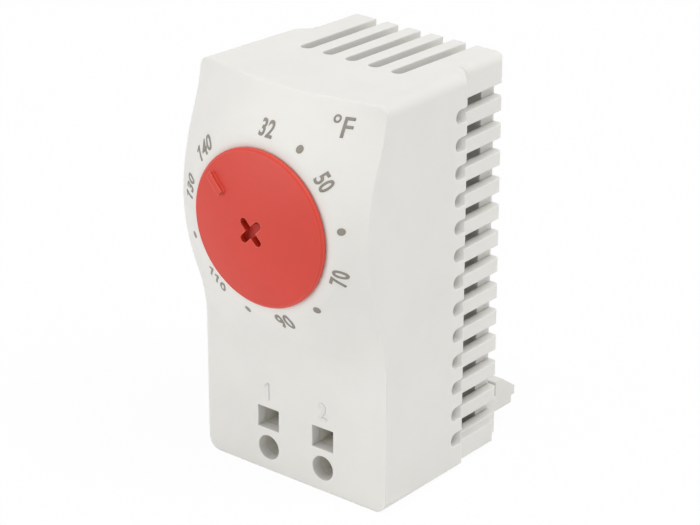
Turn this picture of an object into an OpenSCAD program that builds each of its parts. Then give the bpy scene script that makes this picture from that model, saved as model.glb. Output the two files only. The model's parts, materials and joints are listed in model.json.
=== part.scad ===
// Rail-mounted bimetal thermostat: vented housing, setting dial, snap-action strip and two clamp terminals.
// The front faces -Y, the rail is behind, and Z = 0 is the flat bottom.

/* [Housing] */
// Width across the front
body_w = 33; // [32:0.5:38]
// Height of the housing at its rear edge
body_h = 60; // [60:0.5:66]
// Depth from the lower front face to the rear edge
body_d = 29.6; // [29:0.2:33]
// Thickness of the side, top and bottom walls
wall = 1.5; // [1.2:0.1:1.6]
// Thickness of the front wall
front_wall = 1.8; // [1.4:0.1:2.2]
// Inward draft of each side wall from front to shoulder
side_draft = 0.7; // [0.3:0.1:1]
// Rise of the roof from the rear edge to the front face
roof_rise = 1.1; // [0.6:0.1:1.4]
// Width of the ribbed rear section
rear_w = 27.5; // [26.5:0.5:28.5]
// Distance from the front where the shoulder begins
shoulder_y = 18.5; // [17.5:0.1:19]
// Length of the sloped shoulder
shoulder_l = 2.5; // [2.2:0.1:3.4]
// Rounding of the shoulder's edges
shoulder_r = 0.8; // [0.4:0.1:1.2]
// Rounding of the upright rear edges
rear_r = 0.6; // [0.2:0.1:0.9]
// Rounding of the upper edges of the rear section
rear_top_r = 1.2; // [0.8:0.1:2]
// Rounding of the upper long edges
top_r = 1.5; // [1:0.1:2.5]
// Rounding of the lower long edges
bottom_r = 2; // [1:0.5:3]
// Rounding of the brow above the dial
brow_r = 0.7; // [0.5:0.1:1.5]

/* [Vents] */
// Height of one side slot
vent_h = 2.05; // [1.6:0.05:2.2]
// Number of side slots
vent_count = 13; // [10:1:13]
// Distance from the top down to the first side slot
vent_drop = 4.3; // [4:0.1:6]
// Height of the lowest side slot above the bottom
vent_rise = 3.85; // [3.8:0.05:4.5]
// Distance from the front to the round end of the side slots
vent_front = 15.85; // [15:0.05:17]
// Distance from one top slot to the next
roof_pitch = 4.05; // [3.6:0.05:4.2]
// Width of one top slot
roof_slot = 1.9; // [1.4:0.1:2.1]
// Number of top slots
roof_count = 5; // [4:1:5]
// Sideways place of the row of top slots
roof_x = -0.1; // [-0.5:0.1:0.5]
// Distance from the front to the round end of the top slots
roof_front = 12; // [11.5:0.1:14]

/* [Foot] */
// Width of the foot under the ribs
foot_w = 30.4; // [29:0.2:31]
// Height of the foot's top above the bottom
foot_h = 3.7; // [2.5:0.1:3.8]
// Height of the foot's underside above the bottom
foot_gap = 0.6; // [0.2:0.1:1]
// Distance from the front to the rear of the foot
foot_rear = 27.2; // [25:0.2:29]

/* [Dial] */
// Distance from the top down to the dial's axis
dial_drop = 18.2; // [17:0.1:19.5]
// Diameter of the dial
dial_d = 23; // [20:0.5:24]
// Thickness of the dial at its rim
dial_rim = 0.7; // [0.5:0.1:1]
// Height of the dial's dome above its rim
dial_dome = 1.5; // [1.2:0.05:2.2]
// Chamfer of the dial's rim
rim_cut = 0.25; // [0.1:0.05:0.4]
// Gap between the dial and its seat
dial_gap = 0.15; // [0.1:0.05:0.3]
// Height of the seat in front of the lower front face
seat_h = 6.7; // [6:0.1:7.2]
// Radius of the flat seat before its edge falls away
seat_r = 12.8; // [12.5:0.1:13.5]
// Fall of the seat's flank for each millimetre of radius
flank_slope = 0.64; // [0.55:0.01:0.75]
// Rounding between the flank and the lower front face
flank_r = 10; // [6:0.5:12]
// Rounding between the flat seat and the flank
seat_edge_r = 4; // [2:0.5:5]
// Direction of the pointer at rest, counted from up towards -X
pointer_angle = 52; // [40:1:70]
// Length of the pointer ridge
pointer_l = 3.4; // [2.5:0.1:4.5]
// Height of the pointer ridge above the dome
pointer_h = 0.6; // [0.3:0.1:0.9]
// Distance from the dial's edge in to the pointer ridge
pointer_in = 1.2; // [0.5:0.1:2]
// Width of the pointer ridge
pointer_w = 1; // [0.8:0.1:2]
// Length of each arm of the driver cross
cross_l = 4.7; // [3.5:0.1:6]
// Width of each arm of the driver cross
cross_w = 1.25; // [0.8:0.05:1.6]
// Depth of the driver cross
cross_depth = 1.2; // [0.8:0.1:1.3]

/* [Spindle] */
// Diameter of the dial's hub
hub_d = 9; // [8:0.2:10]
// Diameter of the spindle inside the hub
spindle_d = 5; // [4.6:0.1:5.6]
// Diameter of the spindle inside its bush
thread_d = 4; // [3.6:0.1:4.2]
// Diameter of the setting pin
pin_d = 2; // [1.6:0.1:2.2]
// Gap between the setting pin and the strip at rest
pin_gap = 0.35; // [0.3:0.05:0.6]
// Radial clearance of turning and sliding fits
run_fit = 0.05; // [0.03:0.01:0.08]

/* [Terminals] */
// Distance between the two terminals
terminal_pitch = 10.1; // [9.6:0.1:10.6]
// Diameter of the wire entries
wire_d = 3.8; // [3.2:0.1:4]
// Height of the wire entries above the bottom
wire_z = 3.6; // [3.5:0.05:3.8]
// Width of the driver entries
driver_w = 3.9; // [3.2:0.1:4.4]
// Height of the driver entries
driver_h = 3.4; // [2.8:0.1:3.4]
// Height of the middle of the driver entries above the bottom
driver_z = 8.3; // [8.1:0.1:8.6]
// Distance from the front to the end of the wire and driver shafts
entry_depth = 4.4; // [3.6:0.1:4.6]
// Width of the clamp springs
spring_w = 4.8; // [4.5:0.1:5.4]
// Thickness of the clamp springs
spring_t = 0.4; // [0.3:0.05:0.5]
// Thickness of the current bars
bar_t = 0.8; // [0.6:0.1:1]
// Width of the current bars
bar_w = 4.6; // [3.6:0.1:4.8]

/* [Switch] */
// Thickness of the bimetal strip
strip_t = 0.6; // [0.4:0.1:0.8]
// Width of the bimetal strip
strip_w = 8; // [6:0.5:9]
// Distance from the front to the middle of the strip
strip_y = 18; // [17.8:0.1:18.6]
// Height of the strip's pivot above the bottom
pivot_z = 24.2; // [24:0.1:25]
// Distance from the top down to the strip's upper end
strip_drop = 5; // [4:0.5:6]
// Diameter of the contact buttons
contact_d = 3; // [2.4:0.1:3.6]
// Distance from the top down to the contacts
contact_drop = 8.5; // [8:0.1:9]
// Clearance between the closed contacts
contact_gap = 0.05; // [0.03:0.01:0.1]
// Thickness of the mechanism frame
frame_t = 1.2; // [1:0.1:1.5]
// Distance from the front to the mechanism frame
frame_y = 8; // [7.6:0.1:8.2]

/* [Rail clip] */
// Width of the mounting rail
rail_w = 35; // [35:0.5:37]
// Thickness of the rear base
base_t = 3; // [2.5:0.1:3.5]
// Clearance between the base and the housing
base_fit = 0.1; // [0.05:0.01:0.15]
// Height of the lower rail groove above the bottom
rail_z = 5; // [4.8:0.1:5.4]
// Reach of the lower clip behind the base
clip_reach = 6.8; // [6:0.1:7.5]
// Width of the lower rail groove
clip_groove = 2; // [1.6:0.1:2.4]
// Half width of the upper hook
hook_half = 7; // [5:0.5:8]
// Width of the upper rail groove
hook_groove = 1.3; // [1.1:0.1:1.6]

/* [Hidden] */
// Distance from the lower front face back to the origin, under the middle of the body
origin_y = 10;
$fn = 64;
eps = 0.01;
over = 1;
grey = "#e4e3df";
red = "#db5246";
brass = "#c9a24b";
steel = "#b9bcc0";
copper = "#b8733c";
silver = "#d9dadc";
ivory = "#d8cfb8";
dark = "#4a4a4e";

// Housing
half_w = body_w / 2;
shoulder_x = half_w - side_draft;
rear_half = rear_w / 2;
inner_half = shoulder_x - wall;
rear_inner = rear_half - wall;
inner_top = body_h - wall;
roof_z = body_h + roof_rise;
roof_top = roof_z + roof_rise;
roof_angle = atan(roof_rise / body_d);
dial_z = body_h - dial_drop;
slope_angle = atan2(shoulder_l, rear_half - shoulder_x);
shoulder_run = norm([shoulder_x - rear_half, shoulder_l]);
shoulder_reach = shoulder_r * tan((slope_angle - 90) / 2);
draft_angle = atan2(shoulder_y, shoulder_x - half_w);
vent_inner = rear_inner - wall;
vent_pitch = (body_h - vent_drop - vent_h - vent_rise) / (vent_count - 1);
flank_angle = atan(flank_slope);
flank_foot = seat_r + seat_h / flank_slope;
flank_cut = flank_r * tan(flank_angle / 2);
seat_cut = seat_edge_r * tan(flank_angle / 2);
seat_wall = seat_h - front_wall;
brow_reach = seat_h - flank_slope * (roof_z - dial_z - seat_r);
brow_sweep = (half_w * half_w + brow_reach * brow_reach) / (2 * brow_reach);
brow_middle = brow_sweep - brow_reach;
brow_in = brow_r * (1 / cos(flank_angle) - flank_slope);
brow_out = brow_r * cos(flank_angle) - brow_in;
brow_low = brow_r * (1 - sin(flank_angle));

// Dial and spindle, counted along -Y from the lower front face
dial_back = seat_h + dial_gap;
dial_edge = dial_back + dial_rim;
dial_crown = dial_edge + dial_dome;
dial_r = dial_d / 2;
dome_r = (dial_r * dial_r + dial_dome * dial_dome) / (2 * dial_dome);
washer_t = 0.3;
washer_rim = 3;
washer_d = hub_d + 2 * washer_rim;
hub_reach = 1.8;
hub_end = seat_wall - hub_reach;
spindle_cover = 0.4;
spindle_front = dial_crown - cross_depth - spindle_cover;
ring_t = 0.6;
ring_gap = 0.2;
ring_front = seat_wall - ring_gap;
ring_rim = 1.5;
groove_depth = 0.5;
ring_groove = hub_d - 2 * groove_depth;
step_gap = 1.4;
spindle_step = frame_y - step_gap;
spindle_end = 13;
pin_tip = strip_y - strip_t / 2 - pin_gap;
pin_head_d = 3.4;
pin_head_t = 1.4;
pin_root = 9.2;
pin_room = 1.5;
bush_wall = 1.25;
bush_d = thread_d + 2 * bush_wall;
bush_rim = 2.5;
bush_flange_d = thread_d + 2 * bush_rim;
bush_flange_t = 1.2;
bush_reach = 2.3;
bush_end = frame_y + frame_t + bush_reach;

// Terminals
term_x = terminal_pitch / 2;
carrier_half = 11;
carrier_top = 14;
carrier_rear = 13.9;
bay_fit = 0.3;
bay_w = spring_w + 2 * bay_fit;
bay_top = 12.2;
bay_rear = 13.5;
spring_gap = 0.2;
bar_z = wire_z + wire_d / 2 + spring_gap;
bar_top = bar_z + bar_t;
leg_y = entry_depth + spring_gap;
fork_w = wire_d + spring_gap;
bar_front = leg_y + spring_t + 2 * spring_gap;
bar_up = carrier_rear + bay_fit + spring_gap;
loop_start = bar_front + 1;
loop_r = 2.25;
loop_z = bar_top + loop_r;
loop_y = 10.6;

// Switch
strip_top = body_h - strip_drop;
contact_z = body_h - contact_drop;
slot_fit = 0.15;
pillar_y = bar_up + bar_t + slot_fit;
pillar_d = 3.5;
pillar_rear = strip_y + pillar_d;
pillar_half = 6;
pillar_gap = 2;
web_half = term_x - bar_w / 2 - slot_fit;
bracket_t = 0.8;
root_half = 1.2;
root_gap = 1;
bracket_top = pivot_z + root_half;
bracket_base = pivot_z - root_half - root_gap;
bracket_left = -pillar_half;
bracket_right = web_half - slot_fit;
strip_bottom = pivot_z - root_half;
rivet_x = 3;
rivet_shift = -1.8;
rivet_y = strip_y + 2.2;
rivet_d = 1.6;
rivet_l = 1.5;
rivet_head_d = 1.9;
rivet_head_t = 0.6;
strip_front = strip_y - strip_t / 2;
head_half = 8;
head_h = 7;
magnet_gap = 0.5;
magnet_w = 5;
magnet_h = 5;
magnet_t = 3.2;
magnet_back = strip_front - magnet_gap - magnet_t;
frame_half = 9;
frame_top = strip_top;
screw_d = 2.5;
screw_x = 7;
screw_back = 2.4;
screw_y = frame_y + frame_t + screw_back;
screw_l = 1;
screw_head_d = 4.1;
screw_head_t = 1.2;

// Rear base
base_front = body_d - base_t;
base_half = rear_inner - base_fit;
base_bottom = wall + base_fit;
base_top = inner_top - base_fit;
clip_end = body_d + clip_reach;
clip_lip = body_d + clip_groove;
clip_h = 2.5;
clip_bottom = rail_z - clip_h;
clip_rise = 2.2;
clip_tip = rail_z + clip_rise;
clip_step = 0.8;
clip_step_h = 1.2;
clip_flat = 1.8;
rail_fit = 0.2;
hook_z = rail_z + rail_w + rail_fit;
hook_lip = body_d + hook_groove;
hook_t = 2.3;
hook_end = hook_lip + hook_t;
hook_h = 3.2;
hook_drop = 1.8;
hook_flat = 0.8;
hook_cut = 1;

// Puts the origin under the middle of the body
module placed() {
    translate([0, -origin_y, 0]) children();
}

// Outline in the XZ plane, drawn along Y
module along_y(from, to) {
    translate([0, to, 0]) rotate([90, 0, 0]) linear_extrude(height = to - from) children();
}

// Outline in the YZ plane, drawn along X
module along_x(from, to) {
    translate([from, 0, 0]) rotate([90, 0, 90]) linear_extrude(height = to - from) children();
}

// Outline of radius and forward height, turned about the dial's axis
module about_dial() {
    translate([0, 0, dial_z]) rotate([90, 0, 0]) rotate_extrude() children();
}

// Cylinder on the dial's axis between two places along Y
module dial_rod(d, from, to) {
    translate([0, to, dial_z]) rotate([90, 0, 0]) cylinder(d = d, h = to - from);
}

// Box given by its two corners
module span(a, b) {
    translate(a) cube(b - a);
}

// Front view of the body with its rounded lower corners, before the roof is cut
module body_section() {
    difference() {
        translate([-half_w, 0]) square([body_w, roof_top]);
        for (side = [-1, 1]) {
            corner_cut(side * half_w, 0, side, -1, bottom_r);
        }
    }
}

// What a rounded corner leaves away from a square one
module corner_cut(x, y, sx, sy, r) {
    translate([x - sx * r, y - sy * r]) difference() {
        translate([sx > 0 ? 0 : -r - over, sy > 0 ? 0 : -r - over]) square(r + over);
        circle(r);
    }
}

// Sliver between a corner and the arc that rounds it, from one side's direction to the other's
module corner_sliver(p, a, b, r) {
    half = (b - a) / 2;
    middle = [cos(a + half), sin(a + half)];
    reach = r / tan(half);
    difference() {
        polygon([p - over * middle, p + reach * [cos(a), sin(a)], p + reach * [cos(b), sin(b)]]);
        translate(p + r / sin(half) * middle) circle(r);
    }
}

// Plan of the body: drafted sides, rounded shoulders and the narrow rear
module body_plan() {
    difference() {
        union() {
            polygon([[-half_w, -dial_crown], [half_w, -dial_crown], [half_w, 0], [shoulder_x, shoulder_y],
                [rear_half, shoulder_y + shoulder_l], [rear_half, body_d], [-rear_half, body_d],
                [-rear_half, shoulder_y + shoulder_l], [-shoulder_x, shoulder_y], [-half_w, 0]]);
            for (side = [0, 1]) {
                mirror([side, 0, 0])
                    corner_sliver([rear_half, shoulder_y + shoulder_l], slope_angle - 180, 90, shoulder_r);
            }
        }
        for (side = [0, 1]) {
            mirror([side, 0, 0]) {
                corner_sliver([shoulder_x, shoulder_y], slope_angle, 180 + draft_angle, shoulder_r);
                corner_sliver([rear_half, body_d], 180, 270, rear_r);
            }
        }
    }
}

// Children placed on the sloping roof, with Z = 0 on its surface
module on_roof() {
    translate([0, 0, roof_z]) rotate([-roof_angle, 0, 0]) children();
}

// What the sloping roof and its rounded long edges leave away
module roof_cut() {
    span([-body_w, -2 * dial_crown, 0], [body_w, 2 * body_d, 2 * roof_rise + over]);
    for (side = [-1, 1]) {
        translate([side * half_w, 0, 0]) rotate([0, 0, side * (draft_angle - 90)])
            along_y(-2 * dial_crown, shoulder_y + shoulder_l) corner_cut(0, 0, side, 1, top_r);
        translate([side * shoulder_x, shoulder_y, 0]) rotate([0, 0, side * (slope_angle - 90)])
            along_y(-shoulder_l, shoulder_run) corner_cut(0, 0, side, 1, top_r);
        along_y(shoulder_y + shoulder_l, 2 * body_d) corner_cut(side * rear_half, 0, side, 1, rear_top_r);
        translate([side * (rear_half + shoulder_r), shoulder_y + shoulder_l + shoulder_reach, 0])
            rotate_extrude() difference() {
                translate([0, -rear_top_r]) square([shoulder_r + rear_top_r, rear_top_r]);
                translate([shoulder_r + rear_top_r, -rear_top_r]) circle(rear_top_r);
            }
    }
}

// Plan of the foot with its rounded rear corners
module foot_plan() {
    difference() {
        translate([-foot_w / 2, shoulder_y]) square([foot_w, foot_rear - shoulder_y]);
        for (side = [-1, 1]) {
            corner_cut(side * foot_w / 2, foot_rear, side, 1, rear_r);
        }
    }
}

// Half section of the raised seat with its flank and both roundings
module seat_section() {
    difference() {
        union() {
            polygon([[0, -over], [0, seat_h], [seat_r, seat_h], [flank_foot, 0], [flank_foot, -over]]);
            difference() {
                polygon([[flank_foot - flank_cut * cos(flank_angle), flank_cut * sin(flank_angle)],
                    [flank_foot + flank_cut, 0], [flank_foot + flank_cut, -over],
                    [flank_foot - flank_cut, -over]]);
                translate([flank_foot + flank_cut, flank_r]) circle(flank_r);
            }
        }
        difference() {
            polygon([[seat_r - seat_cut, seat_h + eps], [seat_r + seat_cut, seat_h + eps],
                [seat_r + seat_cut * cos(flank_angle), seat_h - seat_cut * sin(flank_angle)]]);
            translate([seat_r - seat_cut, seat_h - seat_edge_r]) circle(seat_edge_r);
        }
    }
}

// What the rounding of the brow leaves away, swept about an upright axis behind the body
module brow_cut() {
    translate([0, brow_middle, 0]) rotate_extrude() difference() {
        polygon([[brow_sweep - brow_in, over], [brow_sweep + brow_reach, over],
            [brow_sweep + brow_reach, -brow_low], [brow_sweep + brow_out, -brow_low]]);
        translate([brow_sweep - brow_in, -brow_r]) circle(brow_r);
    }
}

// Solid body before it is hollowed
module body_solid() {
    difference() {
        intersection() {
            union() {
                along_y(0, shoulder_y + shoulder_l) body_section();
                difference() {
                    intersection() {
                        about_dial() seat_section();
                        along_y(-dial_crown, over) body_section();
                    }
                    on_roof() brow_cut();
                }
                span([-rear_half, shoulder_y, foot_gap], [rear_half, body_d, roof_top]);
            }
            linear_extrude(height = roof_top) body_plan();
        }
        on_roof() roof_cut();
    }
    translate([0, 0, foot_gap]) linear_extrude(height = foot_h - foot_gap) foot_plan();
}

// Room inside the housing, open to the rear
module body_room() {
    span([-inner_half, front_wall, wall], [inner_half, shoulder_y - 1, inner_top]);
    span([-rear_inner, front_wall, wall], [rear_inner, body_d + over, inner_top]);
    intersection() {
        about_dial() polygon([[0, -front_wall - over], [0, seat_wall], [seat_r - over, seat_wall],
            [seat_r - over + seat_wall / flank_slope, 0],
            [seat_r - over + seat_wall / flank_slope, -front_wall - over]]);
        span([-inner_half, -dial_crown, wall], [inner_half, front_wall + over, inner_top - over]);
    }
}

// Side slots with half-round front ends, open to the rear
module side_vents() {
    for (i = [0 : vent_count - 1]) {
        middle = body_h - vent_drop - vent_h / 2 - i * vent_pitch;
        for (side = [-1, 1]) {
            along_x(side > 0 ? vent_inner : -half_w - over, side > 0 ? half_w + over : -vent_inner) {
                translate([vent_front + vent_h / 2, middle]) circle(d = vent_h);
                translate([vent_front + vent_h / 2, middle - vent_h / 2])
                    square([body_d + over - vent_front, vent_h]);
            }
        }
    }
}

// Slots in the roof and the floor with half-round front ends, open to the rear
module roof_vents() {
    for (i = [0 : roof_count - 1]) {
        x = roof_x + (i - (roof_count - 1) / 2) * roof_pitch;
        for (z = [-over, inner_top - over]) {
            translate([x, 0, z]) linear_extrude(height = wall + 2 * over + roof_rise) {
                translate([0, roof_front + roof_slot / 2]) circle(d = roof_slot);
                translate([-roof_slot / 2, roof_front + roof_slot / 2])
                    square([roof_slot, body_d + over - roof_front]);
            }
        }
    }
}

// Wire and driver shafts between two places along Y
module terminal_entries(from, to) {
    for (side = [-1, 1]) {
        translate([side * term_x, to, wire_z]) rotate([90, 0, 0]) cylinder(d = wire_d, h = to - from);
        span([side * term_x - driver_w / 2, from, driver_z - driver_h / 2],
            [side * term_x + driver_w / 2, to, driver_z + driver_h / 2]);
    }
}

module housing() {
    color(grey) difference() {
        body_solid();
        body_room();
        side_vents();
        roof_vents();
        terminal_entries(-over, front_wall + over);
        dial_rod(hub_d + 2 * run_fit, -dial_crown, over);
    }
}

// Closing plate with the sprung lower rail clip and the upper rail hook
module rear_base() {
    color(grey) {
        span([-base_half, base_front, base_bottom], [base_half, body_d, base_top]);
        along_x(-base_half, base_half) polygon([[body_d - eps, clip_bottom],
            [clip_end - clip_step, clip_bottom], [clip_end - clip_step, clip_bottom + clip_step_h],
            [clip_end, clip_bottom + clip_step_h], [clip_end, rail_z], [clip_lip + clip_flat, clip_tip],
            [clip_lip, clip_tip], [clip_lip, rail_z], [body_d - eps, rail_z]]);
        along_x(-hook_half, hook_half) polygon([[body_d - eps, hook_z], [hook_lip, hook_z],
            [hook_lip, hook_z - hook_drop], [hook_lip + hook_flat, hook_z - hook_drop],
            [hook_end, hook_z], [hook_end, hook_z + hook_h - hook_cut],
            [hook_end - hook_cut, hook_z + hook_h], [body_d - eps, hook_z + hook_h]]);
    }
}

// One arm of the driver cross with round ends
module cross_arm() {
    square([cross_l - cross_w, cross_w], center = true);
    for (side = [-1, 1]) {
        translate([side * (cross_l - cross_w) / 2, 0]) circle(d = cross_w);
    }
}

// Domed dial with a hub, a pointer ridge and a cross for a driver
module setting_dial() {
    color(red) difference() {
        union() {
            about_dial() intersection() {
                translate([0, dial_crown - dome_r]) circle(dome_r, $fn = 180);
                polygon([[0, dial_back], [dial_r, dial_back], [dial_r, dial_edge - rim_cut],
                    [dial_r - 3 * rim_cut, dial_edge + 2 * rim_cut], [0, dial_crown + over]]);
            }
            dial_rod(hub_d, -dial_back - eps, -hub_end);
            intersection() {
                translate([0, dome_r - dial_crown - pointer_h, dial_z]) sphere(dome_r, $fn = 180);
                translate([0, 0, dial_z]) rotate([0, -pointer_angle, 0])
                    span([-pointer_w / 2, -dial_crown - over, dial_r - pointer_in - pointer_l],
                        [pointer_w / 2, -dial_back - eps, dial_r - pointer_in]);
            }
        }
        for (turn = [0, 90]) {
            translate([0, 0, dial_z]) rotate([0, turn + 45, 0])
                along_y(-dial_crown - over, -dial_crown + cross_depth) cross_arm();
        }
        difference() {
            dial_rod(washer_d + 2 * run_fit, -seat_h - washer_t, -seat_h + eps);
            dial_rod(hub_d, -dial_crown, over);
        }
        difference() {
            dial_rod(hub_d + over, -ring_front, -ring_front + ring_t);
            dial_rod(ring_groove, -dial_crown, over);
        }
        dial_rod(spindle_d, -spindle_front, over);
    }
}

// Stepped spindle pressed into the hub, bored at its end for the setting pin
module dial_spindle() {
    color(brass) difference() {
        union() {
            dial_rod(spindle_d, -spindle_front, spindle_step);
            dial_rod(thread_d, 0, spindle_end);
        }
        dial_rod(pin_d + 2 * run_fit, pin_root - pin_room, spindle_end + over);
    }
}

module retaining_ring() {
    color(steel) difference() {
        dial_rod(hub_d + 2 * ring_rim, -ring_front, -ring_front + ring_t);
        dial_rod(ring_groove, -seat_h, over);
    }
}

module friction_washer() {
    color(steel) difference() {
        dial_rod(washer_d, -seat_h - washer_t, -seat_h);
        dial_rod(hub_d + 2 * run_fit, -dial_crown, over);
    }
}

module spindle_bush() {
    color(brass) difference() {
        union() {
            dial_rod(bush_flange_d, frame_y - bush_flange_t, frame_y);
            dial_rod(bush_d, frame_y - eps, bush_end);
        }
        dial_rod(thread_d + 2 * run_fit, 0, bush_end + over);
    }
}

module setting_pin() {
    color(ivory) {
        dial_rod(pin_d, pin_root, pin_tip);
        dial_rod(pin_head_d, pin_tip - pin_head_t, pin_tip);
    }
}

// Upright steel plate with a foot and an arm that holds the magnet
module mechanism_frame() {
    color(steel) difference() {
        union() {
            span([-frame_half, frame_y, carrier_top], [frame_half, frame_y + frame_t, frame_top]);
            span([-frame_half, frame_y, carrier_top], [frame_half, carrier_rear, carrier_top + frame_t]);
            span([-frame_half, frame_y, contact_z - magnet_h / 2],
                [-frame_half + frame_t, magnet_back, contact_z + magnet_h / 2]);
            span([-frame_half, magnet_back - frame_t, contact_z - magnet_h / 2],
                [-head_half + magnet_w, magnet_back, contact_z + magnet_h / 2]);
        }
        dial_rod(bush_d, 0, bush_end);
        for (side = [-1, 1]) {
            translate([side * screw_x, screw_y, carrier_top - over])
                cylinder(d = screw_d, h = frame_t + 2 * over);
        }
    }
}

// Two pan-head screws through the frame's foot
module frame_screws() {
    color(steel) for (side = [-1, 1]) {
        translate([side * screw_x, screw_y, 0]) {
            translate([0, 0, carrier_top - screw_l]) cylinder(d = screw_d, h = frame_t + screw_l);
            translate([0, 0, carrier_top + frame_t]) cylinder(d = screw_head_d, h = screw_head_t);
        }
    }
}

module snap_magnet() {
    color(dark) span([-head_half, magnet_back, contact_z - magnet_h / 2],
        [-head_half + magnet_w, strip_front - magnet_gap, contact_z + magnet_h / 2]);
}

// Moulded block with two terminal bays and a pillar for the strip
module contact_carrier() {
    color(ivory) difference() {
        union() {
            span([-carrier_half, front_wall, wall], [carrier_half, carrier_rear, carrier_top]);
            span([-web_half, carrier_rear - eps, wall], [web_half, pillar_rear, bracket_base]);
            span([-pillar_half, pillar_y, carrier_top + pillar_gap],
                [pillar_half, pillar_rear, bracket_base]);
        }
        for (side = [-1, 1]) {
            span([side * term_x - bay_w / 2, entry_depth, wall - over],
                [side * term_x + bay_w / 2, bay_rear, bay_top]);
            span([side * term_x - bar_w / 2, bay_rear - over, bar_z],
                [side * term_x + bar_w / 2, carrier_rear + over, bar_top]);
            translate([side * screw_x, screw_y, carrier_top - screw_l])
                cylinder(d = screw_d, h = screw_l + over);
            translate([side * rivet_x + rivet_shift, rivet_y, bracket_base - rivet_l])
                cylinder(d = rivet_d, h = rivet_l + over);
        }
        terminal_entries(front_wall - over, entry_depth + over);
    }
}

// Brass channel in which the strip's lower end rocks
module strip_bracket() {
    color(brass) difference() {
        union() {
            span([bracket_left, bar_up, bracket_base],
                [bracket_right, pillar_rear, bracket_base + bracket_t]);
            span([bracket_left, strip_front - slot_fit - bracket_t, bracket_base],
                [bracket_right, strip_front - slot_fit, bracket_top]);
            span([bracket_left, strip_y + strip_t / 2 + slot_fit, bracket_base],
                [bracket_right, strip_y + strip_t / 2 + slot_fit + bracket_t, bracket_top]);
        }
        for (side = [-1, 1]) {
            translate([side * rivet_x + rivet_shift, rivet_y, bracket_base - over])
                cylinder(d = rivet_d, h = bracket_t + 2 * over);
        }
    }
}

// Two rivets that hold the bracket on the pillar
module bracket_rivets() {
    color(brass) for (side = [-1, 1]) {
        translate([side * rivet_x + rivet_shift, rivet_y, bracket_base - rivet_l]) {
            cylinder(d = rivet_d, h = rivet_l + bracket_t);
            translate([0, 0, rivet_l + bracket_t]) cylinder(d = rivet_head_d, h = rivet_head_t);
        }
    }
}

// Bimetal strip with a wide head for the contact and the magnet
module bimetal_strip() {
    color(steel) {
        span([-strip_w / 2, strip_front, strip_bottom], [strip_w / 2, strip_front + strip_t, strip_top]);
        span([-head_half, strip_front, strip_top - head_h], [head_half, strip_front + strip_t, strip_top]);
    }
}

module moving_contact() {
    color(silver) translate([term_x, strip_front, contact_z]) rotate([90, 0, 0])
        cylinder(d = contact_d, h = (strip_front - bar_up - bar_t) / 2 - contact_gap);
}

module fixed_contact() {
    color(silver) translate([term_x, (strip_front + bar_up + bar_t) / 2, contact_z]) rotate([90, 0, 0])
        cylinder(d = contact_d, h = (strip_front - bar_up - bar_t) / 2);
}

// Bent current bar: flat over the wire, then upright behind the carrier
module terminal_bar(side, top) {
    color(copper) {
        span([side * term_x - bar_w / 2, bar_front, bar_z],
            [side * term_x + bar_w / 2, bar_up + bar_t, bar_top]);
        span([side * term_x - bar_w / 2, bar_up, bar_z],
            [side * term_x + bar_w / 2, bar_up + bar_t, top]);
    }
}

module terminal_bar_1() {
    terminal_bar(-1, bracket_base);
}

module terminal_bar_2() {
    terminal_bar(1, contact_z + contact_d);
}

// Looped cage spring with openings for the wire and the driver
module clamp_spring(side) {
    color(steel) translate([side * term_x, 0, 0]) difference() {
        along_x(-spring_w / 2, spring_w / 2) {
            translate([leg_y, wall + spring_gap]) square([spring_t, loop_z + loop_r - wall - spring_gap]);
            translate([leg_y, loop_z + loop_r - spring_t]) square([loop_y - leg_y, spring_t]);
            translate([loop_start, bar_top]) square([loop_y - loop_start, spring_t]);
            difference() {
                translate([loop_y, loop_z]) circle(loop_r);
                translate([loop_y, loop_z]) circle(loop_r - spring_t);
                translate([loop_y - loop_r - over, loop_z - loop_r - over])
                    square([loop_r + over, 2 * (loop_r + over)]);
            }
        }
        span([-fork_w / 2, leg_y - over, wall], [fork_w / 2, leg_y + spring_t + over, wire_z + fork_w / 2]);
        span([-driver_w / 2 + spring_gap, leg_y - over, driver_z - driver_h / 2 + spring_gap],
            [driver_w / 2 - spring_gap, leg_y + spring_t + over, driver_z + driver_h / 2 - spring_gap]);
    }
}

module clamp_spring_1() {
    clamp_spring(-1);
}

module clamp_spring_2() {
    clamp_spring(1);
}

placed() housing();
placed() rear_base();
placed() setting_dial();
placed() dial_spindle();
placed() retaining_ring();
placed() friction_washer();
placed() spindle_bush();
placed() setting_pin();
placed() mechanism_frame();
placed() frame_screws();
placed() snap_magnet();
placed() contact_carrier();
placed() strip_bracket();
placed() bracket_rivets();
placed() bimetal_strip();
placed() moving_contact();
placed() fixed_contact();
placed() terminal_bar_1();
placed() terminal_bar_2();
placed() clamp_spring_1();
placed() clamp_spring_2();
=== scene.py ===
import json
import math

import bpy
from mathutils import Matrix, Vector


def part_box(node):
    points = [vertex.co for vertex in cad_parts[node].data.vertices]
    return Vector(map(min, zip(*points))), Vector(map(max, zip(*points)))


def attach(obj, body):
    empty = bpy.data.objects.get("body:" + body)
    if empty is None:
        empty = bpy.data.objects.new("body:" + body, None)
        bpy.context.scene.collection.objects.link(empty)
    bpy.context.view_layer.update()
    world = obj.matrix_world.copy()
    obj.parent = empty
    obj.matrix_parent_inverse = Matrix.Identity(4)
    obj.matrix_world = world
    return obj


bl_info = {
    "name": "Rail Thermostat Looks",
    "version": (1, 0, 0),
    "blender": (4, 5, 0),
    "location": "View3D > Sidebar > Thermostat",
    "description": "Finishes, printed scale and studio for a rail-mounted bimetal thermostat",
    "category": "Object",
}

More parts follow.
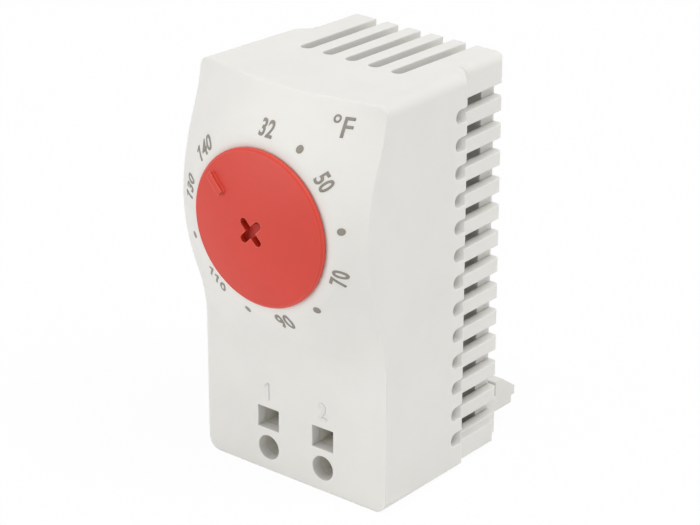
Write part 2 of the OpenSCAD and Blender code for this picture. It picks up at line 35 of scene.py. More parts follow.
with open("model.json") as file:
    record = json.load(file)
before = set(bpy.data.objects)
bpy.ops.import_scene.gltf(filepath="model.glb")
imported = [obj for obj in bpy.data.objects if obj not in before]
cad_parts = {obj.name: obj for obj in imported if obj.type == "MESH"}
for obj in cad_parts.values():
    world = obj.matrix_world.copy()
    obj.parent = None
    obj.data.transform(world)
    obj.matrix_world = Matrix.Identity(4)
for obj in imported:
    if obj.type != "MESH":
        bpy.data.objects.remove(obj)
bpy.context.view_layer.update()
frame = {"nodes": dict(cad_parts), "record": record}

MM = 0.001
DIAL_LOW, DIAL_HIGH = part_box("setting_dial")
DIAL_Z = (DIAL_LOW.z + DIAL_HIGH.z) / 2
WIRE_ENTRY = next(m for m in frame["record"]["mounts"] if m["name"] == "wire_entry_1")
FRONT_Y = WIRE_ENTRY["pos_m"][1] - WIRE_ENTRY["dims"]["length_mm"] * MM / 2
AHEAD = Vector((0, -1, 0))
UP = Vector((0, 0, 1))

# Lamps: name, place, side of the square and power
LAMPS = [
    ("softbox_top", (-0.1, -0.15, 1.0), 1.0, 1.2),
    ("softbox_front", (-0.5, -1.05, 0.34), 0.66, 4.0),
    ("softbox_side", (0.55, 0.1, 1.0), 0.6, 5.2),
]

# What each skin group gives its material
SKIN_OUTPUTS = [
    ("Colour", "NodeSocketColor"),
    ("Roughness", "NodeSocketFloat"),
    ("Height", "NodeSocketFloat"),
]
# Part of a noise's range that its mapped values span
NOISE_LOW, NOISE_HIGH = 0.3, 0.7
# Samples of the shader's rounding at an edge
EDGE_SAMPLES = 6
# Figures of a number: their step, and the length, width and slant of the flag on a 1, against the height
FIGURE_STEP = 0.72
FLAG_LENGTH, FLAG_WIDTH, FLAG_SLANT = 0.36, 0.14, math.radians(38)
# Point of the flag at the top left of the 1, in shares of its length and width from its middle
FLAG_CORNER = (0.35, 0.6, 0)

# Scale numbers: label, clockwise angle from up in degrees, radius and height in millimetres,
# top of the figures away from the dial
SCALE_NUMBERS = [
    ("32", 1.6, 14.3, 2.2, True),
    ("50", 49.0, 13.9, 2.15, True),
    ("70", 107.5, 13.8, 2.2, False),
    ("90", 166.0, 13.9, 2.5, False),
    ("110", 220.3, 13.9, 2.3, False),
    ("130", 279.5, 13.8, 2.15, True),
    ("140", 308.6, 13.9, 2.25, True),
]
# Dots between them: angle and radius
SCALE_DOTS = [(26.0, 14.15), (78.4, 13.8), (136.8, 13.6), (193.8, 13.9), (249.5, 13.7)]


class StageSettings(bpy.types.PropertyGroup):
    """Camera, floor and light."""

    azimuth: bpy.props.FloatProperty(
        name="Azimuth", description="Direction of the camera from the front towards +X",
        default=math.radians(39.2), subtype="ANGLE", unit="ROTATION")
    elevation: bpy.props.FloatProperty(
        name="Elevation", description="Height of the camera above the horizon",
        default=math.radians(24.01), subtype="ANGLE", unit="ROTATION")
    distance: bpy.props.FloatProperty(
        name="Distance", description="Distance from the camera to its target",
        default=0.4008, subtype="DISTANCE", unit="LENGTH")
    target: bpy.props.FloatVectorProperty(
        name="Target", description="Point in the middle of the picture",
        default=(0.00001, 0.00234, 0.02999), subtype="XYZ", unit="LENGTH")
    lens: bpy.props.FloatProperty(
        name="Lens", description="Focal length on a sensor 36 mm wide",
        default=144.5, subtype="DISTANCE_CAMERA")
    floor_size: bpy.props.FloatProperty(
        name="Floor", description="Side of the square floor",
        default=6.0, subtype="DISTANCE", unit="LENGTH")
    floor_colour: bpy.props.FloatVectorProperty(
        name="Floor Colour", description="Colour of the floor",
        default=(0.9, 0.9, 0.9), size=3, min=0, max=1, subtype="COLOR")
    room_light: bpy.props.FloatProperty(
        name="Room Light", description="Strength of the even light from all round",
        default=0.55, subtype="FACTOR", min=0, max=2)


class FinishSettings(bpy.types.PropertyGroup):
    """Colours of the mouldings and metals, with the painted edge highlights and the painted shade of the
    dial's cross.
    """

    housing: bpy.props.FloatVectorProperty(
        name="Housing", description="Light grey of the housing",
        default=(0.78, 0.77, 0.735), size=3, min=0, max=1, subtype="COLOR")
    dial: bpy.props.FloatVectorProperty(
        name="Dial", description="Red of the setting dial",
        default=(0.64, 0.044, 0.025), size=3, min=0, max=1, subtype="COLOR")
    # Painted highlights: these lighter colours along the housing's and dial's edges stand for light
    # caught by the rounded edges
    housing_highlight_tone: bpy.props.FloatVectorProperty(
        name="Housing Edge", description="Lighter grey along the housing's edges",
        default=(0.86, 0.85, 0.82), size=3, min=0, max=1, subtype="COLOR")
    dial_highlight_tone: bpy.props.FloatVectorProperty(
        name="Dial Edge", description="Lighter red along the dial's edges",
        default=(0.95, 0.22, 0.12), size=3, min=0, max=1, subtype="COLOR")
    carrier: bpy.props.FloatVectorProperty(
        name="Carrier", description="Ivory of the inner moulding",
        default=(0.84, 0.82, 0.75), size=3, min=0, max=1, subtype="COLOR")
    ink: bpy.props.FloatVectorProperty(
        name="Ink", description="Grey of the printed scale",
        default=(0.27, 0.245, 0.21), size=3, min=0, max=1, subtype="COLOR")
    grain: bpy.props.FloatProperty(
        name="Grain", description="Strength of the moulded texture",
        default=0.12, subtype="FACTOR", min=0, max=1)
    glow: bpy.props.FloatProperty(
        name="Glow", description="Share of the light that spreads inside the pale plastics",
        default=0.3, subtype="FACTOR", min=0, max=1)
    housing_round: bpy.props.FloatProperty(
        name="Housing Rounding", description="Shaded radius of the housing's edges",
        default=0.25 * MM, subtype="DISTANCE", unit="LENGTH")
    base_round: bpy.props.FloatProperty(
        name="Base Rounding", description="Shaded radius of the rear base's edges",
        default=0.3 * MM, subtype="DISTANCE", unit="LENGTH")
    dial_round: bpy.props.FloatProperty(
        name="Dial Rounding", description="Shaded radius of the dial's edges",
        default=0.2 * MM, subtype="DISTANCE", unit="LENGTH")
    # Widths and turn of the painted highlight bands along the edges
    housing_highlight_band: bpy.props.FloatProperty(
        name="Housing Band", description="Width of the lighter band along the housing's edges",
        default=0.45 * MM, subtype="DISTANCE", unit="LENGTH")
    dial_highlight_band: bpy.props.FloatProperty(
        name="Dial Band", description="Width of the lighter band along the dial's edges",
        default=0.22 * MM, subtype="DISTANCE", unit="LENGTH")
    highlight_band_turn: bpy.props.FloatProperty(
        name="Band Turn", description="Turn of the rounded normal where a lighter band is full",
        default=math.radians(40), subtype="ANGLE", unit="ROTATION")
    # Painted shade: the driver cross's floor has its colour multiplied darker, more so deeper down, for
    # shade in the recess
    cross_reach: bpy.props.FloatProperty(
        name="Cross Reach", description="Radius round the dial's axis that holds the driver cross",
        default=2.7 * MM, subtype="DISTANCE", unit="LENGTH")
    cross_mouth: bpy.props.FloatProperty(
        name="Cross Mouth", description="Depth below the dial's crown where the cross's shade starts",
        default=0.3 * MM, subtype="DISTANCE", unit="LENGTH")
    cross_depth: bpy.props.FloatProperty(
        name="Cross Depth", description="Depth over which the cross's shade grows to its full",
        default=0.7 * MM, subtype="DISTANCE", unit="LENGTH")
    cross_painted_shade: bpy.props.FloatVectorProperty(
        name="Cross Shade", description="Colour that the cross's floor is multiplied by",
        default=(0.75, 0.45, 0.4), size=3, min=0, max=1, subtype="COLOR")


class ScaleSettings(bpy.types.PropertyGroup):
    """Printed scale and moulded terminal numbers."""

    squeeze: bpy.props.FloatProperty(
        name="Squeeze", description="Width of the scale's figures against their natural width",
        default=0.8, subtype="FACTOR", min=0.5, max=1.2)
    weight: bpy.props.FloatProperty(
        name="Weight", description="Thickening of the printed strokes against a figure's size",
        default=0.027, subtype="FACTOR", min=0, max=0.05)
    dot: bpy.props.FloatProperty(
        name="Dot", description="Diameter of the dots between the figures",
        default=1.05 * MM, subtype="DISTANCE", unit="LENGTH")
    unit_weight: bpy.props.FloatProperty(
        name="Unit Weight", description="Thickening of the degree unit's strokes against its size",
        default=0.009, subtype="FACTOR", min=0, max=0.05)
    unit_height: bpy.props.FloatProperty(
        name="Unit Height", description="Height of the degree unit",
        default=2.75 * MM, subtype="DISTANCE", unit="LENGTH")
    unit_place: bpy.props.FloatVectorProperty(
        name="Unit Place", description="Middle of the degree unit on the seat's flank",
        default=(10.8 * MM, -18.0 * MM, 57.9 * MM), subtype="XYZ", unit="LENGTH")
    film: bpy.props.FloatProperty(
        name="Ink Film", description="Thickness of the print",
        default=0.05 * MM, subtype="DISTANCE", unit="LENGTH")
    terminal_squeeze: bpy.props.FloatProperty(
        name="Terminal Squeeze", description="Width of the terminal numbers against their natural width",
        default=0.95, subtype="FACTOR", min=0.5, max=1.2)
    terminal_height: bpy.props.FloatProperty(
        name="Terminal Number", description="Height of the moulded terminal numbers",
        default=2.6 * MM, subtype="DISTANCE", unit="LENGTH")
    terminal_x: bpy.props.FloatProperty(
        name="Terminal Offset", description="Distance of the terminal numbers from the middle",
        default=5.05 * MM, subtype="DISTANCE", unit="LENGTH")
    terminal_z: bpy.props.FloatProperty(
        name="Terminal Level", description="Height of the terminal numbers above the bottom",
        default=12.6 * MM, subtype="DISTANCE", unit="LENGTH")
    relief: bpy.props.FloatProperty(
        name="Relief", description="Height of the moulded numbers above the front",
        default=0.07 * MM, subtype="DISTANCE", unit="LENGTH")
    crown: bpy.props.FloatProperty(
        name="Crown", description="Share of the relief that is rounded over",
        default=0.3, subtype="FACTOR", min=0, max=1)


# Node helpers

def link(tree, source, target):
    tree.links.new(source, target)


def add_node(tree, kind, **values):
    made = tree.nodes.new(kind)
    for name, value in values.items():
        setattr(made, name, value)
    return made


def open_group(name, inputs, outputs):
    """An empty shader node group with its sockets: (group, input node, output node)."""
    group = bpy.data.node_groups.new(name, "ShaderNodeTree")
    for label, kind, default in inputs:
        socket = group.interface.new_socket(label, in_out="INPUT", socket_type=kind)
        socket.default_value = default
    for label, kind in outputs:
        group.interface.new_socket(label, in_out="OUTPUT", socket_type=kind)
    return group, group.nodes.new("NodeGroupInput"), group.nodes.new("NodeGroupOutput")


def noise(tree, place, scale, detail, rough):
    made = add_node(tree, "ShaderNodeTexNoise", noise_dimensions="3D")
    link(tree, place, made.inputs["Vector"])
    made.inputs["Detail"].default_value = detail
    made.inputs["Roughness"].default_value = rough
    if isinstance(scale, bpy.types.NodeSocket):
        link(tree, scale, made.inputs["Scale"])
    else:
        made.inputs["Scale"].default_value = scale
    return made.outputs["Fac"]


def ranged(tree, value, low, high):
    made = add_node(tree, "ShaderNodeMapRange")
    link(tree, value, made.inputs["Value"])
    made.inputs["From Min"].default_value = NOISE_LOW
    made.inputs["From Max"].default_value = NOISE_HIGH
    link(tree, low, made.inputs["To Min"])
    link(tree, high, made.inputs["To Max"])
    return made.outputs["Result"]


def blended(tree, factor, first, second):
    made = add_node(tree, "ShaderNodeMix", data_type="RGBA")
    link(tree, factor, made.inputs["Factor"])
    link(tree, first, made.inputs[6])
    link(tree, second, made.inputs[7])
    return made.outputs[2]


def rounded_normal(tree, radius):
    made = add_node(tree, "ShaderNodeBevel", samples=EDGE_SAMPLES)
    made.inputs["Radius"].default_value = radius
    return made.outputs["Normal"]


def moulded_skin_group():
    """Fine spark-eroded texture with soft clouds of tone."""
    group, inlet, outlet = open_group(
        "moulded_skin",
        [("Place", "NodeSocketVector", (0, 0, 0)),
         ("Light Tone", "NodeSocketColor", (1, 1, 1, 1)),
         ("Deep Tone", "NodeSocketColor", (1, 1, 1, 1)),
         ("Cloud Scale", "NodeSocketFloat", 90.0),
         ("Grain Scale", "NodeSocketFloat", 5200.0),
         ("Rough Low", "NodeSocketFloat", 0.4),
         ("Rough High", "NodeSocketFloat", 0.6)],
        SKIN_OUTPUTS)
    clouds = noise(group, inlet.outputs["Place"], inlet.outputs["Cloud Scale"], 4.0, 0.55)
    grain = noise(group, inlet.outputs["Place"], inlet.outputs["Grain Scale"], 3.0, 0.6)
    flow = add_node(group, "ShaderNodeMath", operation="MULTIPLY_ADD")
    link(group, grain, flow.inputs[0])
    flow.inputs[1].default_value = 0.35
    link(group, clouds, flow.inputs[2])
    tone = add_node(group, "ShaderNodeMapRange")
    link(group, flow.outputs[0], tone.inputs["Value"])
    tone.inputs["From Min"].default_value = 0.4
    tone.inputs["From Max"].default_value = 0.95
    colour = blended(group, tone.outputs["Result"],
                     inlet.outputs["Light Tone"], inlet.outputs["Deep Tone"])
    link(group, colour, outlet.inputs["Colour"])
    link(group, ranged(group, grain, inlet.outputs["Rough Low"], inlet.outputs["Rough High"]),
         outlet.inputs["Roughness"])
    link(group, grain, outlet.inputs["Height"])
    return group


def rolled_metal_group():
    """Fine drawn lines with tarnished patches."""
    group, inlet, outlet = open_group(
        "rolled_metal",
        [("Place", "NodeSocketVector", (0, 0, 0)),
         ("Bright Tone", "NodeSocketColor", (1, 1, 1, 1)),
         ("Dull Tone", "NodeSocketColor", (1, 1, 1, 1)),
         ("Stretch", "NodeSocketVector", (9000, 9000, 300)),
         ("Rough Low", "NodeSocketFloat", 0.2),
         ("Rough High", "NodeSocketFloat", 0.4)],
        SKIN_OUTPUTS)
    stretched = add_node(group, "ShaderNodeVectorMath", operation="MULTIPLY")
    link(group, inlet.outputs["Place"], stretched.inputs[0])
    link(group, inlet.outputs["Stretch"], stretched.inputs[1])
    lines = noise(group, stretched.outputs[0], 1.0, 2.0, 0.5)
    patches = noise(group, inlet.outputs["Place"], 260.0, 5.0, 0.6)
    tone = add_node(group, "ShaderNodeMapRange")
    link(group, patches, tone.inputs["Value"])
    tone.inputs["From Min"].default_value = 0.35
    tone.inputs["From Max"].default_value = 0.75
    colour = blended(group, tone.outputs["Result"],
                     inlet.outputs["Bright Tone"], inlet.outputs["Dull Tone"])
    link(group, colour, outlet.inputs["Colour"])
    link(group, ranged(group, lines, inlet.outputs["Rough Low"], inlet.outputs["Rough High"]),
         outlet.inputs["Roughness"])
    link(group, lines, outlet.inputs["Height"])
    return group


def shared_group(name, maker):
    return bpy.data.node_groups.get(name) or maker()


def open_material(name, group, values, bump, depth, edge=0.0):
    """A material with the group on Object coordinates feeding its own shader, with soft edges."""
    made = bpy.data.materials.new(name)
    made.use_nodes = True
    tree = made.node_tree
    shader = tree.nodes["Principled BSDF"]
    place = add_node(tree, "ShaderNodeTexCoord")
    skin = add_node(tree, "ShaderNodeGroup", node_tree=group)
    link(tree, place.outputs["Object"], skin.inputs["Place"])
    for label, value in values.items():
        skin.inputs[label].default_value = value
    relief = add_node(tree, "ShaderNodeBump")
    relief.inputs["Strength"].default_value = bump
    relief.inputs["Distance"].default_value = depth
    link(tree, skin.outputs["Height"], relief.inputs["Height"])
    if edge:
        link(tree, rounded_normal(tree, edge), relief.inputs["Normal"])
    link(tree, skin.outputs["Colour"], shader.inputs["Base Color"])
    link(tree, skin.outputs["Roughness"], shader.inputs["Roughness"])
    link(tree, relief.outputs["Normal"], shader.inputs["Normal"])
    return made, shader


def tinted(colour, factor):
    return tuple(min(1.0, c * factor) for c in colour) + (1.0,)


def moulded(name, colour, rough, cloud=90.0, grain=5200.0, spread=0.03, bump=0.12, edge=0.0, glow=0.0):
    """Moulded plastic whose tone varies by the spread round its colour, with light inside by the glow."""
    values = {
        "Light Tone": tinted(colour, 1 + spread), "Deep Tone": tinted(colour, 1 - spread),
        "Cloud Scale": cloud, "Grain Scale": grain, "Rough Low": rough[0], "Rough High": rough[1],
    }
    group = shared_group("moulded_skin", moulded_skin_group)
    made, shader = open_material(name, group, values, bump, 0.02 * MM, edge)
    shader.inputs["Subsurface Weight"].default_value = glow
    shader.inputs["Subsurface Radius"].default_value = (1.0, 0.92, 0.85)
    shader.inputs["Subsurface Scale"].default_value = 0.8 * MM
    return made


def repaint(made, mask, tone, mode):
    """Blends a tone into a material's colour by a mask."""
    tree = made.node_tree
    colour = tree.nodes["Principled BSDF"].inputs["Base Color"]
    mixed = add_node(tree, "ShaderNodeMix", data_type="RGBA", blend_type=mode)
    link(tree, mask, mixed.inputs["Factor"])
    link(tree, colour.links[0].from_socket, mixed.inputs[6])
    mixed.inputs[7].default_value = (*tone, 1.0)
    link(tree, mixed.outputs[2], colour)


def paint_edge_highlight(made, tone, radius, turn):
    """Paints a highlight along edges: lightens the colour, fully where the rounded normal leaves the face
    by the turn.
    """
    tree = made.node_tree
    face = add_node(tree, "ShaderNodeNewGeometry")
    match = add_node(tree, "ShaderNodeVectorMath", operation="DOT_PRODUCT")
    link(tree, rounded_normal(tree, radius), match.inputs[0])
    link(tree, face.outputs["Normal"], match.inputs[1])
    along = add_node(tree, "ShaderNodeMapRange")
    link(tree, match.outputs["Value"], along.inputs["Value"])
    along.inputs["From Min"].default_value = 1.0
    along.inputs["From Max"].default_value = math.cos(turn)
    repaint(made, along.outputs["Result"], tone, "MIX")


def paint_recess_shade(made, tone, axis_z, mouth_y, radius, depth):
    """Paints shade inside a recess round an axis along Y: darkens the colour, more so towards its floor.
    """
    tree = made.node_tree
    place = add_node(tree, "ShaderNodeTexCoord")
    split = add_node(tree, "ShaderNodeSeparateXYZ")
    link(tree, place.outputs["Object"], split.inputs[0])
    flat = add_node(tree, "ShaderNodeCombineXYZ")
    link(tree, split.outputs["X"], flat.inputs["X"])
    link(tree, split.outputs["Z"], flat.inputs["Z"])
    reach = add_node(tree, "ShaderNodeVectorMath", operation="DISTANCE")
    link(tree, flat.outputs[0], reach.inputs[0])
    reach.inputs[1].default_value = (0, 0, axis_z)
    near = add_node(tree, "ShaderNodeMath", operation="LESS_THAN")
    link(tree, reach.outputs["Value"], near.inputs[0])
    near.inputs[1].default_value = radius
    # Painted shade mask: grows with depth below the recess's mouth, only near the axis
    recess_shade_mask = add_node(tree, "ShaderNodeMapRange")
    link(tree, split.outputs["Y"], recess_shade_mask.inputs["Value"])
    recess_shade_mask.inputs["From Min"].default_value = mouth_y
    recess_shade_mask.inputs["From Max"].default_value = mouth_y + depth
    link(tree, near.outputs[0], recess_shade_mask.inputs["To Max"])
    repaint(made, recess_shade_mask.outputs["Result"], tone, "MULTIPLY")


def metal(name, colour, rough, stretch, dull=0.72, bump=0.1):
    """Bare metal with lines along the short side of the stretch."""
    values = {
        "Bright Tone": tinted(colour, 1.0), "Dull Tone": tinted(colour, dull),
        "Stretch": stretch, "Rough Low": rough[0], "Rough High": rough[1],
    }
    group = shared_group("rolled_metal", rolled_metal_group)
    made, shader = open_material(name, group, values, bump, 0.01 * MM)
    shader.inputs["Metallic"].default_value = 1.0
    return made


def dress(material, *nodes):
    """Gives CAD nodes their finish."""
    for name in nodes:
        slots = frame["nodes"][name].data.materials
        slots.clear()
        slots.append(material)


# Mesh helpers

def deselect():
    if bpy.context.object and bpy.context.object.mode != "OBJECT":
        bpy.ops.object.mode_set(mode="OBJECT")
    bpy.ops.object.select_all(action="DESELECT")


def pick(*pieces):
    deselect()
    for piece in pieces:
        piece.select_set(True)
    bpy.context.view_layer.objects.active = pieces[0]
    return pieces[0]


def settle(piece, place):
    """Puts a piece's place in its mesh and leaves its object at the origin."""
    pick(piece)
    piece.matrix_world = place
    bpy.ops.object.transform_apply(location=True, rotation=True, scale=True)


def figure(label, height, squeeze=1.0, thickness=0.0, rounding=0.0, weight=0.0):
    """A word as a mesh in the XY plane, centred, with figures of that height."""
    deselect()
    bpy.ops.object.text_add(location=(0, 0, 0))
    word = bpy.context.object
    word.data.body = label
    word.data.size = 1.0
    word.data.resolution_u = 8
    word.data.extrude = thickness / height
    word.data.bevel_depth = rounding / height
    word.data.bevel_resolution = 2
    word.data.offset = weight
    bpy.ops.object.convert(target="MESH")
    word = bpy.context.object
    tops = [v.co for v in word.data.vertices]
    low = Vector(min(v[i] for v in tops) for i in range(3))
    high = Vector(max(v[i] for v in tops) for i in range(3))
    size = height / (high.y - low.y)
    settle(word, Matrix.Scale(size, 4) @ Matrix.Diagonal((squeeze, 1, 1, 1))
           @ Matrix.Translation(-(low + high) / 2))
    return word


def flag(corner, height, thickness):
    """The slanted flag of a 1, with its corner there, flat where it has no thickness."""
    deselect()
    if thickness:
        bpy.ops.mesh.primitive_cube_add(size=1, location=(0, 0, 0))
        size = Vector((FLAG_LENGTH * height, FLAG_WIDTH * height, 2 * thickness))
    else:
        bpy.ops.mesh.primitive_plane_add(size=1, location=(0, 0, 0))
        size = Vector((FLAG_LENGTH * height, FLAG_WIDTH * height, 1))
    made = bpy.context.object
    settle(made, Matrix.Translation(corner) @ Matrix.Rotation(FLAG_SLANT, 4, "Z")
           @ Matrix.Diagonal(size).to_4x4() @ Matrix.Translation(-Vector(FLAG_CORNER)))
    return made


def number(label, height, squeeze, weight=0.0, thickness=0.0, rounding=0.0):
    """A number with one figure after the other and a flag on each 1, centred in the XY plane."""
    step = FIGURE_STEP * squeeze * height
    figures = []
    for i, digit in enumerate(label):
        made = figure(digit, height, squeeze, thickness, rounding, weight)
        settle(made, Matrix.Translation(((i - (len(label) - 1) / 2) * step, 0, 0)))
        figures.append(made)
        if digit == "1":
            left = made.bound_box[0][0]
            figures.append(flag(Vector((left, height / 2, 0)), height, thickness))
    return joined(label, figures)


def surface_place(origin, normal, up):
    """Matrix that lays the XY plane on a surface with +Y towards up."""
    normal = normal.normalized()
    across = up.cross(normal).normalized()
    along = normal.cross(across)
    turn = Matrix((across, along, normal)).transposed()
    return Matrix.Translation(origin) @ turn.to_4x4()


def laid_on_housing(piece, film):
    """Wraps a flat piece on the housing and gives it the thickness of a print film."""
    pick(piece)
    bpy.ops.object.mode_set(mode="EDIT")
    bpy.ops.mesh.select_all(action="SELECT")
    bpy.ops.mesh.quads_convert_to_tris()
    bpy.ops.mesh.subdivide(number_cuts=2)
    bpy.ops.mesh.remove_doubles(threshold=0.001 * MM)
    bpy.ops.object.mode_set(mode="OBJECT")
    wrap = piece.modifiers.new("wrap", "SHRINKWRAP")
    wrap.target = frame["nodes"]["housing"]
    wrap.wrap_method = "PROJECT"
    wrap.use_project_y = True
    wrap.wrap_mode = "ABOVE_SURFACE"
    wrap.offset = film / 2
    bpy.ops.object.modifier_apply(modifier=wrap.name)
    body = piece.modifiers.new("film", "SOLIDIFY")
    body.thickness = film
    body.offset = -1
    bpy.ops.object.modifier_apply(modifier=body.name)


def joined(name, pieces):
    made = pick(*pieces)
    if len(pieces) > 1:
        bpy.ops.object.join()
    made.name = name
    made.data.name = name
    return made


def finish_piece(piece, material, body):
    piece.data.materials.clear()
    piece.data.materials.append(material)
    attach(piece, body)


class THERMOSTAT_OT_stage(bpy.types.Operator):
    """Adds the camera, the floor, the lights and the white room"""

    bl_idname = "thermostat.stage"
    bl_label = "Stage"

    def execute(self, context):
        values = context.scene.thermostat_stage
        scene = context.scene
        scene.view_settings.view_transform = "Standard"
        target = Vector(values.target)
        back = Vector((math.sin(values.azimuth) * math.cos(values.elevation),
                       -math.cos(values.azimuth) * math.cos(values.elevation),
                       math.sin(values.elevation)))
        deselect()
        bpy.ops.object.camera_add(location=target + back * values.distance)
        camera = context.object
        camera.name = "camera"
        camera.rotation_euler = (-back).to_track_quat("-Z", "Y").to_euler()
        camera.data.lens = values.lens
        camera.data.sensor_width = 36.0
        camera.data.sensor_fit = "HORIZONTAL"
        camera.data.clip_start = 0.01
        scene.camera = camera

        deselect()
        bpy.ops.mesh.primitive_plane_add(size=values.floor_size, location=(0, 0, 0))
        floor = context.object
        floor.name = "floor"
        floor.data.materials.append(self.floor_material(values))

        for name, place, size, power in LAMPS:
            deselect()
            bpy.ops.object.light_add(type="AREA", location=place)
            lamp = context.object
            lamp.name = name
            lamp.data.size = size
            lamp.data.energy = power
            lamp.rotation_euler = (target - Vector(place)).to_track_quat("-Z", "Y").to_euler()
        self.white_room(scene, values)
        return {"FINISHED"}

    def seen(self, tree):
        """1 where the camera, a reflection or glass looks at the background."""
        path = add_node(tree, "ShaderNodeLightPath")
        total = path.outputs["Is Camera Ray"]
        for label in ("Is Glossy Ray", "Is Transmission Ray"):
            either = add_node(tree, "ShaderNodeMath", operation="MAXIMUM")
            link(tree, total, either.inputs[0])
            link(tree, path.outputs[label], either.inputs[1])
            total = either.outputs[0]
        return total

    def floor_material(self, values):
        made = bpy.data.materials.new("pale_floor")
        made.use_nodes = True
        tree = made.node_tree
        shader = tree.nodes["Principled BSDF"]
        shader.inputs["Base Color"].default_value = (*values.floor_colour, 1)
        shader.inputs["Roughness"].default_value = 0.9
        glow = add_node(tree, "ShaderNodeEmission")
        share = add_node(tree, "ShaderNodeMath", operation="MULTIPLY")
        link(tree, self.seen(tree), share.inputs[0])
        share.inputs[1].default_value = 0.95
        both = add_node(tree, "ShaderNodeMixShader")
        link(tree, share.outputs[0], both.inputs[0])
        link(tree, shader.outputs[0], both.inputs[1])
        link(tree, glow.outputs[0], both.inputs[2])
        link(tree, both.outputs[0], tree.nodes["Material Output"].inputs["Surface"])
        return made

    def white_room(self, scene, values):
        world = bpy.data.worlds.new("white_room")
        scene.world = world
        world.use_nodes = True
        tree = world.node_tree
        room = tree.nodes["Background"]
        room.inputs["Strength"].default_value = values.room_light
        room.inputs["Color"].default_value = (1, 1, 1, 1)
        backdrop = add_node(tree, "ShaderNodeBackground")
        backdrop.inputs["Strength"].default_value = 1.0
        backdrop.inputs["Color"].default_value = (1, 1, 1, 1)
        both = add_node(tree, "ShaderNodeMixShader")
        link(tree, self.seen(tree), both.inputs[0])
        link(tree, room.outputs[0], both.inputs[1])
        link(tree, backdrop.outputs[0], both.inputs[2])
        link(tree, both.outputs[0], tree.nodes["World Output"].inputs["Surface"])


class THERMOSTAT_OT_mouldings(bpy.types.Operator):
    """Gives the housing, the rear base and the inner mouldings their plastic, with a painted highlight
    along the housing's edges
    """

    bl_idname = "thermostat.mouldings"
    bl_label = "Mouldings"

    def execute(self, context):
        values = context.scene.thermostat_finish
        shell = moulded("housing_moulding", values.housing, (0.46, 0.6), bump=values.grain,
                        edge=values.housing_round, glow=values.glow)
        # Painted highlight: a lighter band along the housing's edges
        paint_edge_highlight(shell, values.housing_highlight_tone, values.housing_highlight_band, values.highlight_band_turn)
        dress(shell, "housing")
        dress(moulded("base_moulding", tinted(values.housing, 0.98)[:3], (0.48, 0.62), bump=values.grain,
                      edge=values.base_round, glow=values.glow), "rear_base")
        dress(moulded("carrier_moulding", values.carrier, (0.5, 0.68), spread=0.06, glow=values.glow),
              "contact_carrier")
        dress(moulded("ceramic_pin", (0.68, 0.62, 0.48), (0.6, 0.78), grain=9000.0, spread=0.05),
              "setting_pin")
        dress(moulded("ground_ferrite", (0.06, 0.06, 0.07), (0.42, 0.6), grain=7000.0, spread=0.25),
              "snap_magnet")
        return {"FINISHED"}


class THERMOSTAT_OT_dial(bpy.types.Operator):
    """Gives the setting dial its satin red, with a painted highlight along its edges and painted shade in
    its driver cross
    """

    bl_idname = "thermostat.dial"
    bl_label = "Dial"

    def execute(self, context):
        values = context.scene.thermostat_finish
        satin = moulded("red_dial", values.dial, (0.38, 0.5), cloud=140.0, spread=0.05,
                        bump=values.grain / 2, edge=values.dial_round)
        # Painted highlight: a lighter band along the dial's edges
        paint_edge_highlight(satin, values.dial_highlight_tone, values.dial_highlight_band, values.highlight_band_turn)
        # Painted shade: darkens the floor of the driver cross
        paint_recess_shade(satin, values.cross_painted_shade, DIAL_Z, DIAL_LOW.y + values.cross_mouth,
                     values.cross_reach, values.cross_depth)
        dress(satin, "setting_dial")
        return {"FINISHED"}


class THERMOSTAT_OT_metals(bpy.types.Operator):
    """Gives the spindle, the switch and the terminals their metals"""

    bl_idname = "thermostat.metals"
    bl_label = "Metals"

    def execute(self, context):
        upright, turned, flat = (9000, 9000, 300), (4000, 300, 4000), (300, 9000, 9000)
        dress(metal("turned_brass", (0.58, 0.37, 0.07), (0.22, 0.36), turned),
              "dial_spindle", "spindle_bush")
        dress(metal("pressed_brass", (0.58, 0.37, 0.07), (0.28, 0.44), flat),
              "strip_bracket", "bracket_rivets")
        dress(metal("spring_steel", (0.45, 0.46, 0.48), (0.2, 0.36), flat),
              "retaining_ring", "friction_washer", "clamp_spring_1", "clamp_spring_2")
        dress(metal("zinc_plate", (0.48, 0.49, 0.5), (0.3, 0.5), upright),
              "mechanism_frame", "frame_screws")
        dress(metal("bimetal", (0.5, 0.48, 0.44), (0.24, 0.4), upright), "bimetal_strip")
        dress(metal("contact_silver", (0.68, 0.68, 0.69), (0.14, 0.28), turned, dull=0.85),
              "moving_contact", "fixed_contact")
        dress(metal("bar_copper", (0.48, 0.17, 0.05), (0.26, 0.42), upright),
              "terminal_bar_1", "terminal_bar_2")
        return {"FINISHED"}


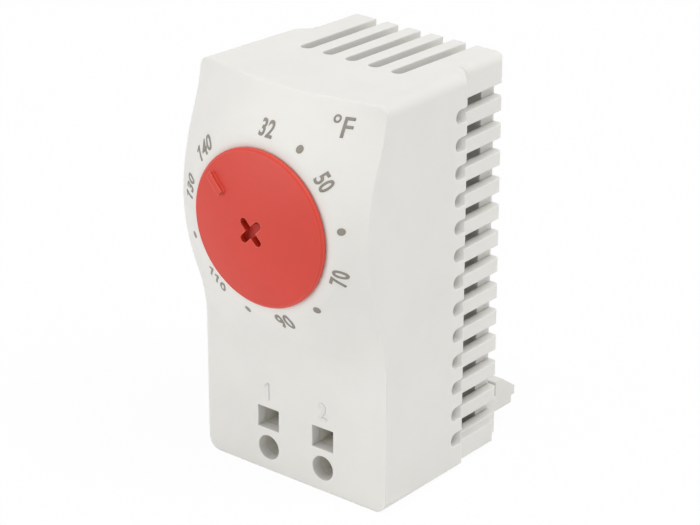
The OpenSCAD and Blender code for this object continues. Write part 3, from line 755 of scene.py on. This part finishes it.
class THERMOSTAT_OT_scale(bpy.types.Operator):
    """Prints the temperature figures, the dots and the unit on the seat's flank"""

    bl_idname = "thermostat.scale"
    bl_label = "Scale"

    def execute(self, context):
        values = context.scene.thermostat_scale
        ink = moulded("scale_ink", context.scene.thermostat_finish.ink, (0.55, 0.7), cloud=900.0,
                      grain=9000.0, spread=0.12)
        numbers = []
        for label, angle, radius, height, outward in SCALE_NUMBERS:
            made = number(label, height * MM, values.squeeze, values.weight)
            numbers.append(self.mark(made, angle, radius, outward))
        dots = [self.mark(self.dot(values.dot), angle, radius, True) for angle, radius in SCALE_DOTS]
        unit = figure("°F", values.unit_height, weight=values.unit_weight)
        settle(unit, surface_place(Vector(values.unit_place), AHEAD, UP))
        for name, pieces in (("scale_figures", numbers), ("scale_dots", dots), ("scale_unit", [unit])):
            piece = joined(name, pieces)
            laid_on_housing(piece, values.film)
            finish_piece(piece, ink, "case")
        return {"FINISHED"}

    def mark(self, piece, angle, radius, outward):
        turn = math.radians(angle)
        away = Vector((math.sin(turn), 0, math.cos(turn)))
        spot = Vector((0, DIAL_LOW.y, DIAL_Z)) + radius * MM * away
        settle(piece, surface_place(spot, AHEAD, away if outward else -away))
        return piece

    def dot(self, diameter):
        deselect()
        bpy.ops.mesh.primitive_circle_add(vertices=32, radius=diameter / 2, fill_type="NGON")
        bpy.ops.object.mode_set(mode="EDIT")
        bpy.ops.mesh.select_all(action="SELECT")
        bpy.ops.mesh.inset(thickness=diameter / 6, depth=0)
        bpy.ops.mesh.poke()
        bpy.ops.object.mode_set(mode="OBJECT")
        return bpy.context.object


class THERMOSTAT_OT_terminal_numbers(bpy.types.Operator):
    """Moulds the numbers 1 and 2 above the terminals"""

    bl_idname = "thermostat.terminal_numbers"
    bl_label = "Terminal Numbers"

    def execute(self, context):
        values = context.scene.thermostat_scale
        plastic = frame["nodes"]["housing"].data.materials[0]
        for label, side in (("1", -1), ("2", 1)):
            piece = number(label, values.terminal_height, values.terminal_squeeze,
                           thickness=values.relief * (1 - values.crown),
                           rounding=values.relief * values.crown)
            spot = Vector((side * values.terminal_x, FRONT_Y, values.terminal_z))
            settle(piece, surface_place(spot, AHEAD, UP))
            finish_piece(joined("terminal_number_" + label, [piece]), plastic, "case")
        return {"FINISHED"}


class THERMOSTAT_PT_sidebar(bpy.types.Panel):
    """Lists the pieces and their settings"""

    bl_idname = "THERMOSTAT_PT_sidebar"
    bl_label = "Thermostat"
    bl_space_type = "VIEW_3D"
    bl_region_type = "UI"
    bl_category = "Thermostat"

    def draw(self, context):
        for operator in OPERATORS:
            self.layout.operator(operator.bl_idname)
        for name in SETTINGS:
            box = self.layout.box()
            group = getattr(context.scene, name)
            for key in group.__annotations__:
                box.prop(group, key)


SETTINGS = {
    "thermostat_stage": StageSettings,
    "thermostat_finish": FinishSettings,
    "thermostat_scale": ScaleSettings,
}
OPERATORS = [
    THERMOSTAT_OT_stage,
    THERMOSTAT_OT_mouldings,
    THERMOSTAT_OT_dial,
    THERMOSTAT_OT_metals,
    THERMOSTAT_OT_scale,
    THERMOSTAT_OT_terminal_numbers,
]
CLASSES = [*SETTINGS.values(), *OPERATORS, THERMOSTAT_PT_sidebar]


def register():
    for item in CLASSES:
        bpy.utils.register_class(item)
    for name, group in SETTINGS.items():
        setattr(bpy.types.Scene, name, bpy.props.PointerProperty(type=group))


def unregister():
    for name in SETTINGS:
        delattr(bpy.types.Scene, name)
    for item in reversed(CLASSES):
        bpy.utils.unregister_class(item)


def main():
    register()
    bpy.ops.thermostat.stage()
    bpy.ops.thermostat.mouldings()
    bpy.ops.thermostat.dial()
    bpy.ops.thermostat.metals()
    bpy.ops.thermostat.scale()
    bpy.ops.thermostat.terminal_numbers()
    deselect()


if __name__ == "__main__":
    main()
